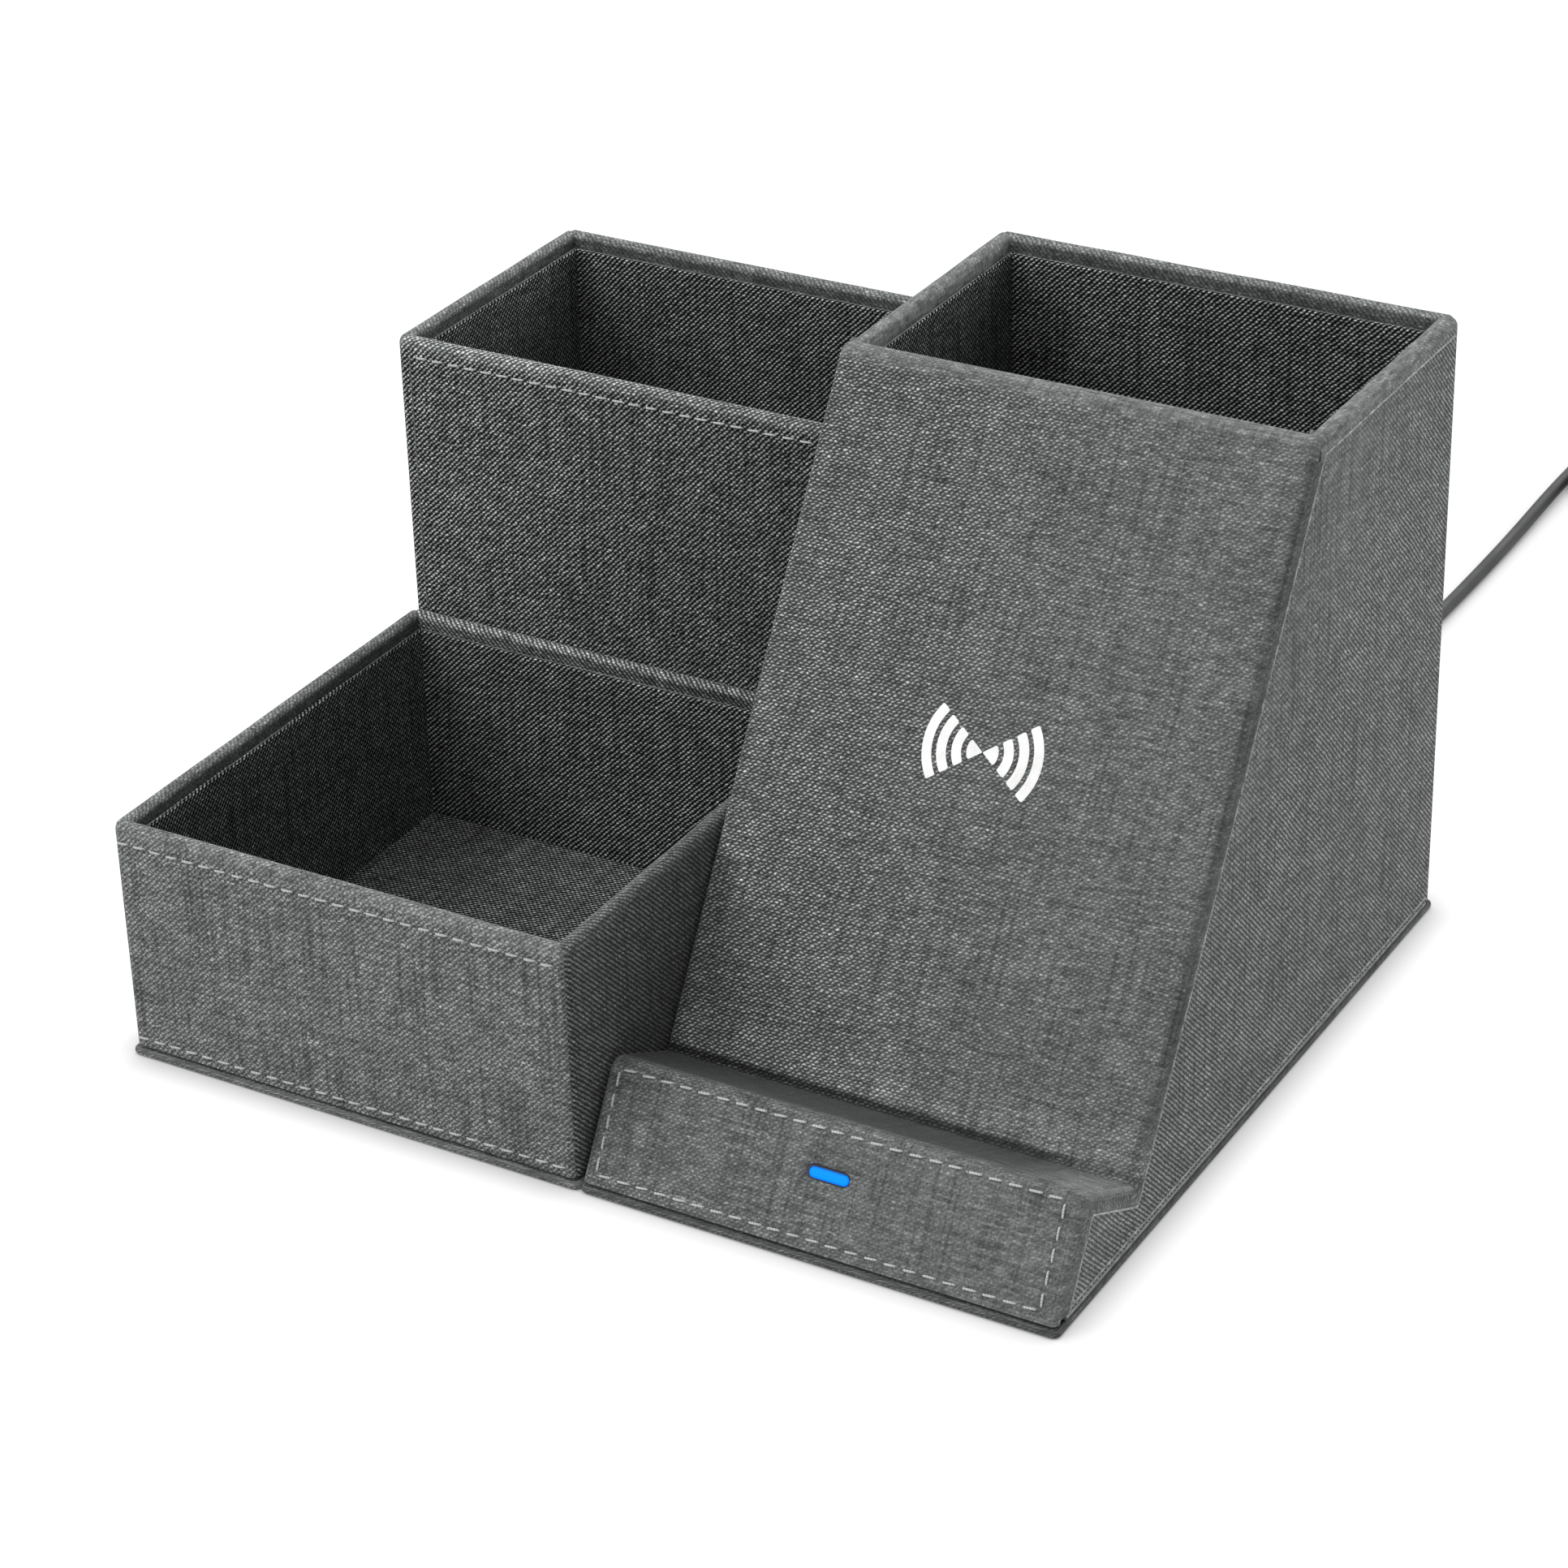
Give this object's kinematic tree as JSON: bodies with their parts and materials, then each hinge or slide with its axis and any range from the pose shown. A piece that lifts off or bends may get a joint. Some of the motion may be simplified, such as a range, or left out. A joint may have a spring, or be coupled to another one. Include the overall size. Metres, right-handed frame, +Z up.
{
  "type": "charging station organizer",
  "caption": "Fabric-covered desk organizer with a low tray, a tall box and a leaning phone rest that charges wirelessly, with a pen compartment behind it and a cable.",
  "frame": {"origin": "middle of the organizer's footprint, on the desk", "axes": "+X to the user's right, from the storage boxes to the charging tower; +Y to the back; +Z up"},
  "size_m": [0.2136, 0.4176, 0.1328],
  "materials": {
    "grey_cover": "heathered grey woven cover",
    "lining": "heathered grey woven lining",
    "base_cover": "grey woven cover, rolled edge",
    "adhesive": "adhesive pad",
    "light_window": "lit blue lens",
    "black_plastic": "moulded black",
    "copper": "enamelled copper windings",
    "ferrite": "dark ferrite",
    "steel": "plated steel",
    "brass": "plain brass",
    "circuit_board": "green solder mask",
    "components": "black moulded components",
    "led": "white package",
    "wire": "red insulation",
    "cable_jacket": "matte dark grey jacket",
    "plug_grip": "matte dark grey",
    "contact_block": "white",
    "tie": "black woven strap"
  },
  "bodies": {
    "organizer": {"tray_front_panel": "grey_cover", "tray_back_panel": "grey_cover", "tray_left_panel": "grey_cover", "tray_right_panel": "grey_cover", "tall_box_front_panel": "grey_cover", "tall_box_back_panel": "grey_cover", "tall_box_left_panel": "grey_cover", "tall_box_right_panel": "grey_cover", "tower_left_panel": "grey_cover", "tower_right_panel": "grey_cover", "tower_back_panel": "grey_cover", "tower_slope_panel": "grey_cover", "tower_ledge_panel": "grey_cover", "tower_lip_panel": "grey_cover", "tray_floor_board": "lining", "tray_front_liner": "lining", "tray_back_liner": "lining", "tray_left_liner": "lining", "tray_right_liner": "lining", "tall_box_floor_board": "lining", "tall_box_front_liner": "lining", "tall_box_back_liner": "lining", "tall_box_left_liner": "lining", "tall_box_right_liner": "lining", "pen_divider_board": "lining", "pen_floor_board": "lining", "pen_left_liner": "lining", "pen_right_liner": "lining", "pen_back_liner": "lining", "storage_base_board": "base_cover", "tower_base_board": "base_cover", "module_bond_pads": "adhesive", "light_window": "light_window", "port_bezel": "black_plastic", "coil_carrier": "black_plastic", "transmitter_coil": "copper", "ferrite_sheet": "ferrite", "carrier_screws": "steel", "circuit_board": "circuit_board", "board_standoffs": "brass", "board_screws": "steel", "board_components": "components", "socket_shell": "steel", "socket_tongue": "black_plastic", "light_led": "led", "light_board": "circuit_board", "coil_lead": "wire", "light_lead": "wire"},
    "cable": {"plug_shell": "steel", "plug_grip": "plug_grip", "plug_strain_relief": "cable_jacket", "charging_cable": "cable_jacket", "charging_cable_coil": "cable_jacket", "cable_tie": "tie", "charging_cable_tail": "cable_jacket", "far_strain_relief": "cable_jacket", "far_plug_grip": "plug_grip", "far_plug_shell": "steel", "far_plug_contact_block": "contact_block"}
  },
  "joints": [
    {"name": "plug_pull", "type": "slide", "parent": "organizer", "child": "cable", "axis": [0, 1, 0], "range_m": [0, 0.0115]}
  ]
}
